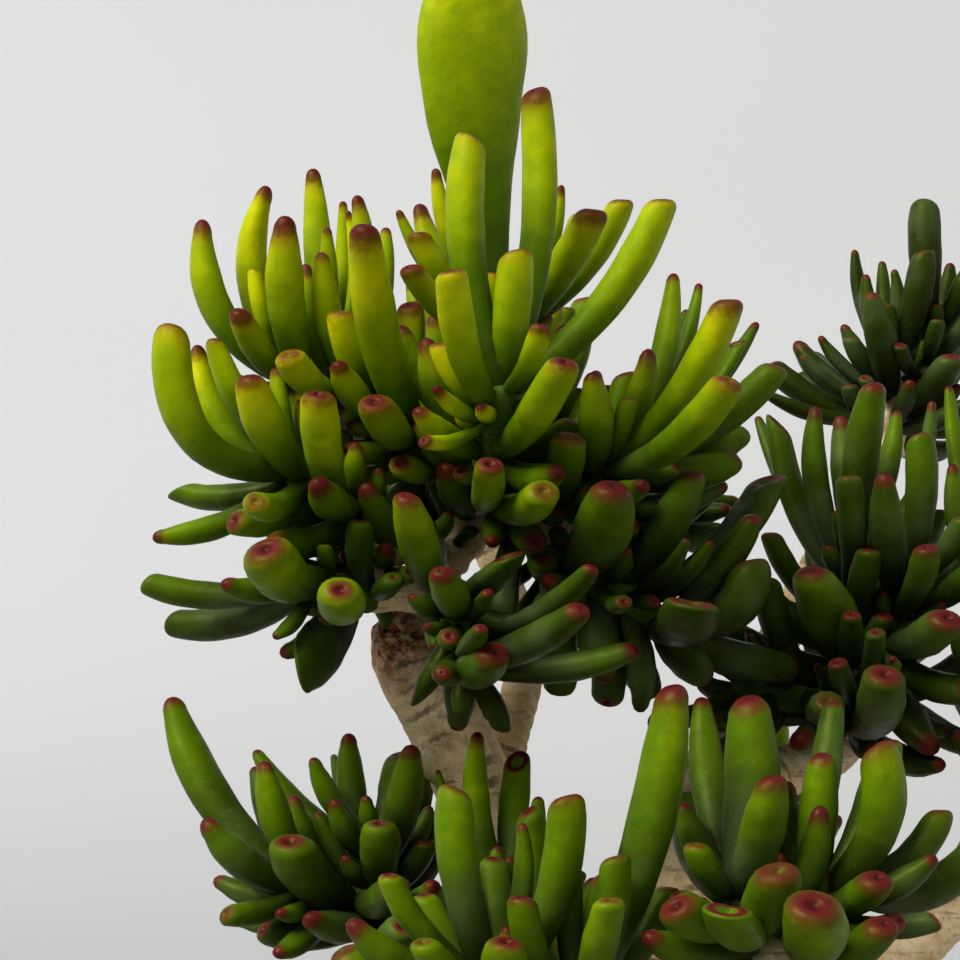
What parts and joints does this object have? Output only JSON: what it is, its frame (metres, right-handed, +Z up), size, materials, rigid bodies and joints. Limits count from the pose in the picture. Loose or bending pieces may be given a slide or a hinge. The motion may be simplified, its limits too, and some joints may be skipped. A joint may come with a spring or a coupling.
{
  "type": "potted hobbit jade",
  "caption": "Many-stemmed succulent with finger-shaped, red-tipped leaves in bushy heads, growing in a round clay pot that stands on its foot ring",
  "frame": {"origin": "centre of the pot's foot, in the plane that the pot stands on", "axes": "+Z up along the pot's axis, -Y towards the front of the plant, +X to the right of somebody facing it"},
  "size_m": [0.1718, 0.1625, 0.3266],
  "materials": {
    "clay": "matte",
    "soil": "matte",
    "bark": "matte",
    "leaf": "satin"
  },
  "bodies": {
    "root": {"pot": "clay", "soil": "soil", "trunk": "bark", "crown_head": "leaf", "crown_back_head": "leaf", "left_low_head": "leaf", "front_low_head": "leaf", "front_right_head": "leaf", "right_head": "leaf", "far_right_head": "leaf", "outer_right_head": "leaf", "back_low_head": "leaf"}
  },
  "joints": []
}
